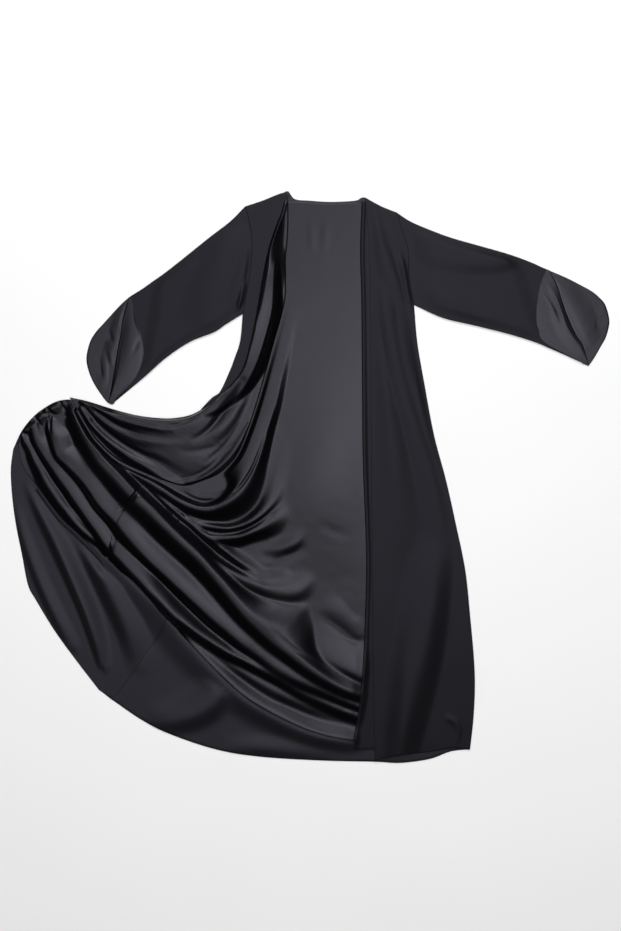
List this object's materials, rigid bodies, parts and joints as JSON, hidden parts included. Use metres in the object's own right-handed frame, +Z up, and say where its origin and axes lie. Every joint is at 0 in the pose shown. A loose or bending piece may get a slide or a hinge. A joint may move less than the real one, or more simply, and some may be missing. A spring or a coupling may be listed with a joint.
{
  "type": "abaya cloak",
  "caption": "Full-length open-front cloak of black crepe with a satin lining, laid flat with one front turned out in folds and the sleeve ends turned back.",
  "frame": {"origin": "centre of the laid-out cloak's plan box, on the surface that it lies on", "axes": "+X towards the wearer's left sleeve, +Y towards the neck, +Z up out of the surface, with the back underneath"},
  "size_m": [1.496, 1.4285, 0.0319],
  "materials": {
    "crepe": "matte black crepe",
    "satin": "glossy black satin"
  },
  "bodies": {
    "root": {"back": "crepe", "front_right": "crepe", "front_right_opened": "crepe", "front_left": "crepe", "front_left_facing": "crepe", "lining_back": "satin", "lining_front_right": "satin", "lining_front_right_swag": "satin", "lining_hem_band": "crepe", "sleeve_right_back": "crepe", "sleeve_right_front": "crepe", "sleeve_right_lining": "satin", "cuff_right": "satin", "sleeve_left_back": "crepe", "sleeve_left_front": "crepe", "sleeve_left_lining": "satin", "cuff_left": "satin"}
  },
  "joints": []
}
